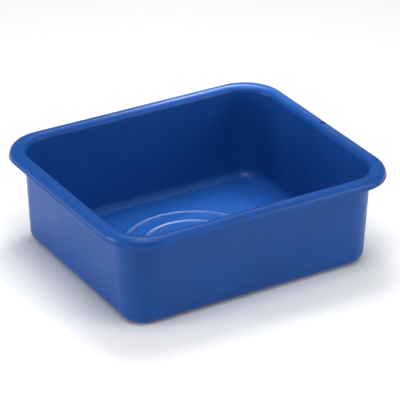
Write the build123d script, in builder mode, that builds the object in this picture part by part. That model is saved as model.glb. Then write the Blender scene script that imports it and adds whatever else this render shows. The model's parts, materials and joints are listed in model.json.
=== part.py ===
"""Mortar mixing tub: one plastic moulding with a rolled rim, a ringed floor and a hang hole.

Millimetres, +Z up. The origin is the centre of the flat base, X runs along the tub's length.
"""
import os

from build123d import *

# Driving dimensions
LENGTH = 610.0
WIDTH = 518.0
HEIGHT = 201.0
WALL = 4.0

# Drafted wall, measured on its outer face
BASE_LENGTH = 529.4
BASE_WIDTH = 437.6
DRAFT_RUN = 15.6                # how far each side leans out over the full height
BASE_CORNER_R = 42.0
TOP_CORNER_R = 74.0
HEEL_R = 22.7                   # outside round between base and wall

# Rolled rim: half-round on top, open underneath
RIM_CORNER_R = 85.5
RIM_ROUND = 14.2
SKIRT_DEPTH = 18.2              # crown to the foot of the outer skirt
LIP_PROUD = 1.0
LIP_HEIGHT = 1.8
LIP_ROUND = 0.45

# Floor rings, raised on the inside
RING_PITCH = 38.0
RING_OUTER_R = 146.5
RING_COUNT = 4
RING_WIDTH = 16.0
RING_HEIGHT = 1.8
RING_ROOT = 1.0                 # how far a ring's section is carried down into the floor

# Hang hole through the crown of one short side
HOLE_R = 5.0
HOLE_FROM_EDGE = LIP_PROUD + RIM_ROUND + 0.2
HOLE_EDGE_R = 0.6

CROWN_UNDERSIDE = HEIGHT - WALL
SKIRT_FOOT = HEIGHT - SKIRT_DEPTH


def wall_plan(height, inset=0.0):
    """Length, width and corner radius of the wall at a height, set in from its outer face."""
    share = height / HEIGHT
    growth = 2 * (DRAFT_RUN * share - inset)
    corner = BASE_CORNER_R + (TOP_CORNER_R - BASE_CORNER_R) * share - inset
    return BASE_LENGTH + growth, BASE_WIDTH + growth, corner


def rim_plan(inset):
    """Length, width and corner radius of the rim's outline, set in from its outermost edge."""
    return LENGTH - 2 * inset, WIDTH - 2 * inset, RIM_CORNER_R - inset


# The space under the rolled rim, between the skirt and the wall
with BuildPart() as channel:
    with BuildSketch(Plane.XY.offset(SKIRT_FOOT)):
        RectangleRounded(*rim_plan(LIP_PROUD + WALL))
    extrude(amount=CROWN_UNDERSIDE - SKIRT_FOOT)
    fillet(channel.faces().sort_by(Axis.Z)[-1].edges(), RIM_ROUND - WALL)
    with BuildSketch(Plane.XY):
        RectangleRounded(*wall_plan(0))
    with BuildSketch(Plane.XY.offset(HEIGHT)):
        RectangleRounded(*wall_plan(HEIGHT))
    loft(ruled=True, mode=Mode.SUBTRACT)
    fillet(channel.faces().sort_by(Axis.Z)[-1].inner_wires()[0].edges(), RIM_ROUND - WALL)

# The drafted space inside, with a rounded foot
with BuildPart() as hollow:
    with BuildSketch(Plane.XY.offset(WALL)):
        RectangleRounded(*wall_plan(WALL, WALL))
    with BuildSketch(Plane.XY.offset(HEIGHT)):
        RectangleRounded(*wall_plan(HEIGHT, WALL))
    loft(ruled=True)
    fillet(hollow.faces().sort_by(Axis.Z)[0].edges(), HEEL_R - WALL)

with BuildPart() as tub:
    # Outside: drafted wall with a rounded heel
    with BuildSketch(Plane.XY):
        RectangleRounded(*wall_plan(0))
    with BuildSketch(Plane.XY.offset(HEIGHT)):
        RectangleRounded(*wall_plan(HEIGHT))
    loft(ruled=True)
    fillet(tub.faces().sort_by(Axis.Z)[0].edges(), HEEL_R)

    # Rim: a block over the wall, rounded outside, with a thin lip at its foot
    with BuildSketch(Plane.XY.offset(SKIRT_FOOT)):
        RectangleRounded(*rim_plan(LIP_PROUD))
    extrude(amount=SKIRT_DEPTH)
    fillet(tub.faces().sort_by(Axis.Z)[-1].edges(), RIM_ROUND)
    with BuildSketch(Plane.XY.offset(SKIRT_FOOT)):
        RectangleRounded(*rim_plan(0))
    extrude(amount=LIP_HEIGHT)
    fillet(tub.faces().sort_by(Axis.X)[-1].edges().filter_by(Axis.Y), LIP_ROUND)

    # Inside: the hollow, then the roll's inner half, then the space under the roll
    add(hollow.part, mode=Mode.SUBTRACT)
    fillet(tub.faces().sort_by(Axis.Z)[-1].inner_wires()[0].edges(), RIM_ROUND)
    add(channel.part, mode=Mode.SUBTRACT)

    # Concentric rings on the floor
    with BuildSketch(Plane.XZ):
        for number in range(RING_COUNT):
            middle = RING_OUTER_R - number * RING_PITCH
            inner, outer = middle - RING_WIDTH / 2, middle + RING_WIDTH / 2
            with BuildLine():
                ThreePointArc((inner, WALL), (middle, WALL + RING_HEIGHT), (outer, WALL))
                Polyline((outer, WALL), (outer, WALL - RING_ROOT), (inner, WALL - RING_ROOT), (inner, WALL))
            make_face()
    revolve(axis=Axis.Z)

    # Hang hole, down through the roll only
    with Locations((LENGTH / 2 - HOLE_FROM_EDGE, 0, HEIGHT)):
        Hole(HOLE_R, depth=SKIRT_DEPTH)
    walls = tub.faces().filter_by(GeomType.CYLINDER).filter_by(lambda face: abs(face.radius - HOLE_R) < 0.01)
    fillet(walls.edges(), HOLE_EDGE_R)

os.makedirs("parts", exist_ok=True)
tub.part.label = "tub"
export_step(tub.part, "parts/tub.step")
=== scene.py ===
"""The looks of a blue plastic mortar mixing tub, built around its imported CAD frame.

Everything is in metres in the frame's own axes: the tub stands on z = 0, X along its length.
"""
import json

import bpy
import numpy as np
from mathutils import Matrix, Vector


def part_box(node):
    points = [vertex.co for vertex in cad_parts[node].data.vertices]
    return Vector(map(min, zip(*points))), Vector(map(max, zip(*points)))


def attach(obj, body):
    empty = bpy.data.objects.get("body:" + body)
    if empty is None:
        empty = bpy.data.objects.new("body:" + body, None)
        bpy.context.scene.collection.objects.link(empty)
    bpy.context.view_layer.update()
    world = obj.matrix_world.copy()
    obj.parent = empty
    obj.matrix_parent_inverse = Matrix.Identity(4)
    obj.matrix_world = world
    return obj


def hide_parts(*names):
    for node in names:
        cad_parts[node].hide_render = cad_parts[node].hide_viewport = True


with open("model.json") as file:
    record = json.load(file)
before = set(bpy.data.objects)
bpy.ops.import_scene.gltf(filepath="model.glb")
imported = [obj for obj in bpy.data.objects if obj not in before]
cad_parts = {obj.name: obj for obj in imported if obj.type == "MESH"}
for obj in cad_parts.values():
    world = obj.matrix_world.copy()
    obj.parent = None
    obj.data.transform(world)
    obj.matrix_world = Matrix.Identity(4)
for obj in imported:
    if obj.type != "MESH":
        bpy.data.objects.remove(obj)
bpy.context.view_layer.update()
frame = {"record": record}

# ---------------------------------------------------------------- sizes, in millimetres
MM = 0.001
low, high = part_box("tub")
HALF_LENGTH = (high[0] - low[0]) / 2 / MM
HALF_WIDTH = (high[1] - low[1]) / 2 / MM
HEIGHT = high[2] / MM
hang_hole = next(m for m in frame["record"]["mounts"] if m["name"] == "hang_hole")
HOLE_X = hang_hole["pos_m"][0] / MM
HOLE_R = hang_hole["dims"]["r_mm"]

WALL = 4.0
BASE_HALF_LENGTH = 264.7
BASE_HALF_WIDTH = 218.8
BASE_CORNER_R = 42.0
TOP_CORNER_R = 74.0
DRAFT_RUN = 15.6
HEEL_R = 22.7

RIM_CORNER_R = 85.5
RIM_ROUND = 14.2
SKIRT_DEPTH = 18.2
LIP_PROUD = 1.0
LIP_HEIGHT = 1.8
LIP_ROUND = 0.45

RING_OUTER_R = 146.5
RING_PITCH = 38.0
RING_COUNT = 4
RING_WIDTH = 16.0
RING_HEIGHT = 1.8

HOLE_EDGE = 0.6                 # rounding of the hang hole's edges
HOLE_WINDOW = 10.0              # half the stretch of rim that is re-meshed around the hole

ROLL_Z = HEIGHT - RIM_ROUND     # height of the roll's centre line
FOOT_Z = HEIGHT - SKIRT_DEPTH

# ---------------------------------------------------------------- mesh resolution
CORNER_STEPS = 22
LONG_STEPS = 40
SHORT_STEPS = 32
HOLE_STEPS = 6                  # steps across the window on each side of the hole
ROLL_STEPS = 14
WINDOW_STEPS = 7                # roll steps on each side of the crown inside the window


def plan_parameters():
    """Sign of the corner centre and outward normal for each point around a rounded rectangle."""
    window = HOLE_WINDOW / (HALF_WIDTH - RIM_CORNER_R)
    outer = np.linspace(window, 1, (SHORT_STEPS - HOLE_STEPS) // 2 + 1)
    middle = np.linspace(-window, window, HOLE_STEPS + 1)[1:-1]
    plain = np.concatenate([-outer[::-1], middle, outer])
    runs = {0: plain, 1: np.linspace(-1, 1, LONG_STEPS + 1)}
    rows = []
    for quarter in range(4):
        turn = quarter * np.pi / 2
        along = Vector((-np.sin(turn), np.cos(turn)))
        out = Vector((np.cos(turn), np.sin(turn)))
        for share in runs[quarter % 2][:-1]:
            rows.append((*(out + along * share), *out))
        for angle in np.linspace(0, np.pi / 2, CORNER_STEPS + 1)[:-1]:
            normal = (np.cos(turn + angle), np.sin(turn + angle))
            rows.append((*(out + along), *normal))
    return np.array(rows)


ROUND = plan_parameters()
CENTRE_SIGN, NORMAL = ROUND[:, :2], ROUND[:, 2:]
COUNT = len(ROUND)


def outline(half_length, half_width, corner):
    """Points of a rounded rectangle, the same number and order for every one."""
    middle = CENTRE_SIGN * (half_length - corner, half_width - corner)
    return middle + NORMAL * corner


def wall_outline(z, inset=0.0):
    """The drafted wall's outline at a height, set in from its outer face."""
    share = z / HEIGHT
    grow = DRAFT_RUN * share - inset
    corner = BASE_CORNER_R + (TOP_CORNER_R - BASE_CORNER_R) * share - inset
    return outline(BASE_HALF_LENGTH + grow, BASE_HALF_WIDTH + grow, corner)


def rim_outline(inset):
    """The rim's outline, set in from its outermost edge."""
    return outline(HALF_LENGTH - inset, HALF_WIDTH - inset, RIM_CORNER_R - inset)


# How far the wall leans out per millimetre of height, at each point around
LEAN = np.sum((wall_outline(HEIGHT) - wall_outline(0)) * NORMAL, axis=1) / HEIGHT
LEAN_ANGLE = np.arctan(LEAN)
SLANT = np.sqrt(1 + LEAN**2)
INNER_ROLL = wall_outline(ROLL_Z, WALL) + NORMAL * (RIM_ROUND * SLANT)[:, None]
OUTER_ROLL_INSET = LIP_PROUD + RIM_ROUND
HEEL_CENTRE = wall_outline(HEEL_R) - NORMAL * (HEEL_R * SLANT)[:, None]


def ring(points, z):
    """One closed row of vertices from plan points and a height or heights."""
    return np.column_stack([points, np.broadcast_to(z, COUNT)])


def arc_rows(centre, centre_z, radius, start, end, steps, side=1):
    """Rows round a quarter of a tube; angles are from the horizontal, side -1 faces the middle."""
    rows = []
    for share in np.linspace(0, 1, steps + 1):
        angle = start + (end - start) * share
        reach = np.broadcast_to(side * radius * np.cos(angle), COUNT)
        rows.append(ring(centre + NORMAL * reach[:, None], centre_z + radius * np.sin(angle)))
    return rows


def rim_rows(section):
    """Rows of the rim from (inset, height) pairs."""
    return [ring(rim_outline(inset), z) for inset, z in section]


def floor_height(radius):
    """Height of the floor's upper face at a distance from the centre, rings included."""
    z = WALL
    for number in range(RING_COUNT):
        off = abs(radius - (RING_OUTER_R - number * RING_PITCH)) / (RING_WIDTH / 2)
        if off < 1:
            z += RING_HEIGHT * 0.5 * (1 + np.cos(np.pi * off))
    return z


def floor_rows():
    """Rows from the floor's middle out to the foot of the wall, fine across the rings."""
    edge = HEEL_CENTRE
    around = edge / np.linalg.norm(edge, axis=1)[:, None]
    radii = []
    for number in reversed(range(RING_COUNT)):
        middle = RING_OUTER_R - number * RING_PITCH
        radii += list(np.linspace(middle - RING_WIDTH / 2, middle + RING_WIDTH / 2, 13))
        radii.append(middle + RING_PITCH / 2)
    rows = [ring(around * radius, floor_height(radius)) for radius in [6.0, 14.0] + radii]
    last = around * radii[-1]
    for share in np.linspace(0, 1, 7)[1:-1]:
        rows.append(ring(last + (edge - last) * share, WALL))
    return rows


def base_rows():
    """Rows of the flat underside, from the heel in to the middle."""
    around = HEEL_CENTRE / np.linalg.norm(HEEL_CENTRE, axis=1)[:, None]
    last = around * 120.0
    rows = []
    for share in np.linspace(0, 1, 6)[1:]:
        rows.append(ring(HEEL_CENTRE + (last - HEEL_CENTRE) * share, 0.0))
    return rows + [ring(around * radius, 0.0) for radius in (80.0, 45.0, 20.0, 8.0)]


def lip_section():
    """The lip and the skirt's foot as (inset, height) pairs, from the outer face to the inner."""
    top, r = FOOT_Z + LIP_HEIGHT, LIP_ROUND
    turns = np.radians((0, 30, 60, 90))
    section = [(LIP_PROUD, top + 1.2), (LIP_PROUD, top + 0.45), (LIP_PROUD - 0.1, top + 0.1)]
    section += [(r - r * np.sin(a), top - r + r * np.cos(a)) for a in turns]
    section += [(r - r * np.cos(a), FOOT_Z + r - r * np.sin(a)) for a in turns]
    inner = LIP_PROUD + WALL
    section += [(inner - r + r * np.sin(a), FOOT_Z + r - r * np.cos(a)) for a in turns]
    return section


def shell_rows():
    """Every row of the skin: floor, inner wall, roll, skirt, channel, outer wall, base."""
    rows = floor_rows()
    rows += arc_rows(HEEL_CENTRE, HEEL_R, HEEL_R - WALL, -np.pi / 2, -LEAN_ANGLE, 12)
    for z in np.linspace(HEEL_R, ROLL_Z, 10)[1:-1]:
        rows.append(ring(wall_outline(z, WALL), z))
    crown = len(rows) + ROLL_STEPS
    rows += arc_rows(INNER_ROLL, ROLL_Z, RIM_ROUND, LEAN_ANGLE, np.pi / 2, ROLL_STEPS, side=-1)
    rows += arc_rows(rim_outline(OUTER_ROLL_INSET), ROLL_Z, RIM_ROUND, np.pi / 2, 0, ROLL_STEPS)
    rows += rim_rows(lip_section())
    roof = len(rows) + ROLL_STEPS
    under = RIM_ROUND - WALL
    rows += arc_rows(rim_outline(OUTER_ROLL_INSET), ROLL_Z, under, 0, np.pi / 2, ROLL_STEPS)
    rows += arc_rows(INNER_ROLL, ROLL_Z, under, np.pi / 2, LEAN_ANGLE, ROLL_STEPS, side=-1)
    for z in np.linspace(ROLL_Z, HEEL_R, 10)[1:-1]:
        rows.append(ring(wall_outline(z), z))
    rows += arc_rows(HEEL_CENTRE, HEEL_R, HEEL_R, -LEAN_ANGLE, -np.pi / 2, 14)
    rows += base_rows()
    return rows, crown, roof


def hole_windows(crown, roof):
    """Row and column ranges of the two grid windows that the hang hole is cut through."""
    first = (SHORT_STEPS - HOLE_STEPS) // 2
    columns = (first, first + HOLE_STEPS)
    over = (crown - WINDOW_STEPS, crown + 1 + WINDOW_STEPS)
    under = (roof - WINDOW_STEPS, roof + 1 + WINDOW_STEPS)
    return columns, over, under


def window_border(columns, rows):
    """The (row, column) pairs around a window, once round."""
    (c0, c1), (r0, r1) = columns, rows
    return ([(r0, c) for c in range(c0, c1)] + [(r, c1) for r in range(r0, r1)]
            + [(r1, c) for c in range(c1, c0, -1)] + [(r, c0) for r in range(r1, r0, -1)])


def roll_height(x, radius):
    """Height of the roll at an X on the hole's side; its underside has the smaller radius."""
    inner, outer = INNER_ROLL[:, 0].max(), HALF_LENGTH - OUTER_ROLL_INSET
    off = np.maximum(inner - x, 0) + np.maximum(x - outer, 0)
    return ROLL_Z + np.sqrt(radius**2 - off**2)


def hole_rings(over, under):
    """Rings of vertices from the window over the roll, down the hole, to the window under it."""
    centre = np.array([HOLE_X, 0.0])
    turn = over[:, :2] - centre
    turn /= np.linalg.norm(turn, axis=1)[:, None]

    def at(radius, height_radius, drop=0.0):
        plan = centre + turn * radius
        return np.column_stack([plan, roll_height(plan[:, 0], height_radius) + drop])

    def between(border, height_radius, shares):
        hoop = centre + turn * (HOLE_R + HOLE_EDGE)
        result = []
        for share in shares:
            plan = border[:, :2] + (hoop - border[:, :2]) * share
            result.append(np.column_stack([plan, roll_height(plan[:, 0], height_radius)]))
        return result

    spread = (0.2, 0.4, 0.58, 0.74, 0.88, 1.0)
    bends = np.radians((22.5, 45, 67.5, 90))
    rings = between(over, RIM_ROUND, spread)
    for bend in bends:
        radius = HOLE_R + HOLE_EDGE * (1 - np.sin(bend))
        rings.append(at(radius, RIM_ROUND, -HOLE_EDGE * (1 - np.cos(bend))))
    upper = rings[-1]
    lower = at(HOLE_R, RIM_ROUND - WALL, HOLE_EDGE)
    rings.append((upper * 2 + lower) / 3)
    rings.append((upper + lower * 2) / 3)
    for bend in bends[::-1]:
        radius = HOLE_R + HOLE_EDGE * (1 - np.sin(bend))
        rings.append(at(radius, RIM_ROUND - WALL, HOLE_EDGE * (1 - np.cos(bend))))
    return rings + between(under, RIM_ROUND - WALL, spread[::-1])


def shell_mesh():
    """Vertices and faces of the whole closed moulding."""
    rows, crown, roof = shell_rows()
    columns, over_rows, under_rows = hole_windows(crown, roof)
    verts = np.concatenate(rows)
    index = np.arange(len(rows) * COUNT).reshape(len(rows), COUNT)

    def cut(row, column):
        in_rows = over_rows[0] <= row < over_rows[1] or under_rows[0] <= row < under_rows[1]
        return in_rows and columns[0] <= column < columns[1]

    faces = []
    for row in range(len(rows) - 1):
        for column in range(COUNT):
            after = (column + 1) % COUNT
            if not cut(row, column):
                this, following = index[row], index[row + 1]
                faces.append((this[column], following[column], following[after], this[after]))

    # The two poles: the middle of the floor and the middle of the base
    poles = np.array([[0.0, 0.0, WALL], [0.0, 0.0, 0.0]])
    floor_pole, base_pole = len(verts), len(verts) + 1
    verts = np.concatenate([verts, poles])
    for column in range(COUNT):
        after = (column + 1) % COUNT
        faces.append((index[0, column], index[0, after], floor_pole))
        faces.append((index[-1, after], index[-1, column], base_pole))

    # The hang hole's own patch
    over = [index[pair] for pair in window_border(columns, over_rows)]
    under = [index[under_rows[1] + over_rows[0] - row, column]
             for row, column in window_border(columns, over_rows)]
    hoops = [over]
    for hoop in hole_rings(verts[over], verts[under]):
        hoops.append(list(range(len(verts), len(verts) + len(hoop))))
        verts = np.concatenate([verts, hoop])
    hoops.append(under)
    for first, second in zip(hoops, hoops[1:]):
        for number in range(len(first)):
            after = (number + 1) % len(first)
            faces.append((first[number], second[number], second[after], first[after]))
    return verts * MM, faces


def build_tub():
    verts, faces = shell_mesh()
    mesh = bpy.data.meshes.new("tub_moulding")
    mesh.from_pydata(verts.tolist(), [], [tuple(int(v) for v in face) for face in faces])
    mesh.validate()
    mesh.shade_smooth()
    tub = bpy.data.objects.new("tub_moulding", mesh)
    bpy.context.collection.objects.link(tub)
    return tub


tub = build_tub()
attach(tub, "root")
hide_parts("tub")

# ---------------------------------------------------------------- material
BLUE = (0.0105, 0.076, 0.32, 1)
BLUE_DEEP = (0.0093, 0.068, 0.29, 1)
SHEEN_LEVEL = 0.17              # share of the surface's mirror-like reflection, 0.5 for plain glass
GRAIN_SIZE = 0.0011             # the mould's fine texture, metres
GRAIN_DEPTH = 0.00003
WAVE_SIZE = 0.07                # slow unevenness of a large moulded wall
WAVE_DEPTH = 0.00022
COLOUR_CLOUD = 0.06             # size of the slow changes of colour, metres
GLOSS_CLOUD = 0.05
GLOSS = (0.28, 0.36)            # roughness, between its smoothest and dullest clouds
SCUFF_SIZE = 0.012
SCUFF_STRETCH = (1, 1, 9)       # finer up and down, so that the scuffs lie level
SCUFF_DULL = 0.09               # roughness that a scuff adds


def satin_polyethylene():
    """Satin plastic with a fine mould grain, slow unevenness, and small scuffs in its gloss."""
    material = bpy.data.materials.new("satin_blue_polyethylene")
    material.use_nodes = True
    nodes, links = material.node_tree.nodes, material.node_tree.links
    surface = nodes["Principled BSDF"]
    surface.inputs["IOR"].default_value = 1.5
    surface.inputs["Specular IOR Level"].default_value = SHEEN_LEVEL
    place = nodes.new("ShaderNodeTexCoord").outputs["Object"]

    def noise(size, detail, stretch=(1, 1, 1)):
        mapping = nodes.new("ShaderNodeMapping")
        mapping.inputs["Scale"].default_value = stretch
        links.new(place, mapping.inputs["Vector"])
        texture = nodes.new("ShaderNodeTexNoise")
        texture.inputs["Scale"].default_value = 1 / size
        texture.inputs["Detail"].default_value = detail
        links.new(mapping.outputs["Vector"], texture.inputs["Vector"])
        return texture.outputs["Fac"]

    def ramp(value, low, high, to_low, to_high):
        node = nodes.new("ShaderNodeMapRange")
        node.inputs["From Min"].default_value = low
        node.inputs["From Max"].default_value = high
        node.inputs["To Min"].default_value = to_low
        node.inputs["To Max"].default_value = to_high
        links.new(value, node.inputs["Value"])
        return node.outputs["Result"]

    def bump(height, distance, before=None):
        node = nodes.new("ShaderNodeBump")
        node.inputs["Strength"].default_value = 1
        node.inputs["Distance"].default_value = distance
        links.new(height, node.inputs["Height"])
        if before:
            links.new(before, node.inputs["Normal"])
        return node.outputs["Normal"]

    colour = nodes.new("ShaderNodeMix")
    colour.data_type = "RGBA"
    colour.inputs[6].default_value = BLUE
    colour.inputs[7].default_value = BLUE_DEEP
    links.new(ramp(noise(COLOUR_CLOUD, 3), 0.35, 0.65, 0, 1), colour.inputs[0])
    links.new(colour.outputs[2], surface.inputs["Base Color"])

    cloudy = ramp(noise(GLOSS_CLOUD, 4), 0.3, 0.7, *GLOSS)
    scuffs = ramp(noise(SCUFF_SIZE, 5, SCUFF_STRETCH), 0.62, 0.72, 0, SCUFF_DULL)
    gloss = nodes.new("ShaderNodeMath")
    links.new(cloudy, gloss.inputs[0])
    links.new(scuffs, gloss.inputs[1])
    links.new(gloss.outputs["Value"], surface.inputs["Roughness"])

    waves = bump(noise(WAVE_SIZE, 1), WAVE_DEPTH)
    links.new(bump(noise(GRAIN_SIZE, 2), GRAIN_DEPTH, waves), surface.inputs["Normal"])
    return material


tub.data.materials.append(satin_polyethylene())

# ---------------------------------------------------------------- camera
CAMERA_YAW = np.radians(-31.2558)
CAMERA_PITCH = np.radians(27.5671)
CAMERA_ROLL = np.radians(-0.5238)
CAMERA_DISTANCE = 5.03906
CAMERA_RIGHT = 0.007264
CAMERA_UP = 0.092873
LENS = 231.889

level = np.cos(CAMERA_PITCH)
back = Vector((np.sin(CAMERA_YAW) * level, -np.cos(CAMERA_YAW) * level, np.sin(CAMERA_PITCH)))
right = Vector((np.cos(CAMERA_YAW), np.sin(CAMERA_YAW), 0))
up = back.cross(right)
place = right * CAMERA_RIGHT + up * CAMERA_UP + back * CAMERA_DISTANCE
rolled_right = right * np.cos(CAMERA_ROLL) - up * np.sin(CAMERA_ROLL)
rolled_up = right * np.sin(CAMERA_ROLL) + up * np.cos(CAMERA_ROLL)
camera = bpy.data.objects.new("camera", bpy.data.cameras.new("camera"))
camera.data.lens = LENS
camera.data.sensor_width = 36
camera.data.clip_end = 50
facing = Matrix((rolled_right, rolled_up, back)).transposed().to_4x4()
camera.matrix_world = Matrix.Translation(place) @ facing
bpy.context.collection.objects.link(camera)
bpy.context.scene.camera = camera

# ---------------------------------------------------------------- floor and light
floor_mesh = bpy.data.meshes.new("floor")
FLOOR_Z = -0.0005                # a hair under the base, so the two faces never share a plane
floor_corners = [(x, y, FLOOR_Z) for x, y in ((-6, -6), (6, -6), (6, 6), (-6, 6))]
floor_mesh.from_pydata(floor_corners, [], [(0, 1, 2, 3)])
floor = bpy.data.objects.new("floor", floor_mesh)
bpy.context.collection.objects.link(floor)
floor_material = bpy.data.materials.new("floor")
floor_material.use_nodes = True
floor_surface = floor_material.node_tree.nodes["Principled BSDF"]
floor_surface.inputs["Base Color"].default_value = (0.96, 0.96, 0.96, 1)
floor_surface.inputs["Roughness"].default_value = 1
floor_mesh.materials.append(floor_material)

world = bpy.data.worlds.new("studio")
bpy.context.scene.world = world
world.use_nodes = True
world.node_tree.nodes["Background"].inputs["Color"].default_value = (1, 1, 1, 1)
WORLD_LOW = 0.15                 # strength from the horizon up to 30 degrees
WORLD_HIGH = 0.80                # strength straight above
world_nodes, world_links = world.node_tree.nodes, world.node_tree.links
direction = world_nodes.new("ShaderNodeSeparateXYZ")
world_place = world_nodes.new("ShaderNodeTexCoord")
world_links.new(world_place.outputs["Generated"], direction.inputs["Vector"])
climb = world_nodes.new("ShaderNodeMapRange")
climb.inputs["From Min"].default_value = 0.5
climb.inputs["To Min"].default_value = WORLD_LOW
climb.inputs["To Max"].default_value = WORLD_HIGH
world_links.new(direction.outputs["Z"], climb.inputs["Value"])
world_links.new(climb.outputs["Result"], world_nodes["Background"].inputs["Strength"])


def soft_light(name, spot, aim, size, power, spread=180):
    """A round soft light at a spot, turned to a point, in metres; spread is its beam in degrees."""
    spot, aim = Vector(spot), Vector(aim)
    data = bpy.data.lights.new(name, "AREA")
    data.shape = "DISK"
    data.size = size
    data.energy = power
    data.spread = np.radians(spread)
    lamp = bpy.data.objects.new(name, data)
    lamp.location = spot
    lamp.rotation_euler = (spot - aim).to_track_quat("Z", "Y").to_euler()
    bpy.context.collection.objects.link(lamp)


TUB_MIDDLE = (0, 0, 0.1)
soft_light("overhead_back", (0.43, 0.74, 2.45), TUB_MIDDLE, 1.1, 25)
soft_light("overhead_front", (-0.43, -0.74, 2.45), TUB_MIDDLE, 1.1, 23)
soft_light("low_left", (-2.39, 0.64, 0.45), TUB_MIDDLE, 0.8, 27)
soft_light("low_front", (1.50, -1.90, 0.70), TUB_MIDDLE, 1.1, 18)
soft_light("back_right", (0.43, 0.42, 0.70), (0.12, 0.18, 0.1), 0.3, 0.55, spread=50)

bpy.context.scene.view_settings.view_transform = "Standard"
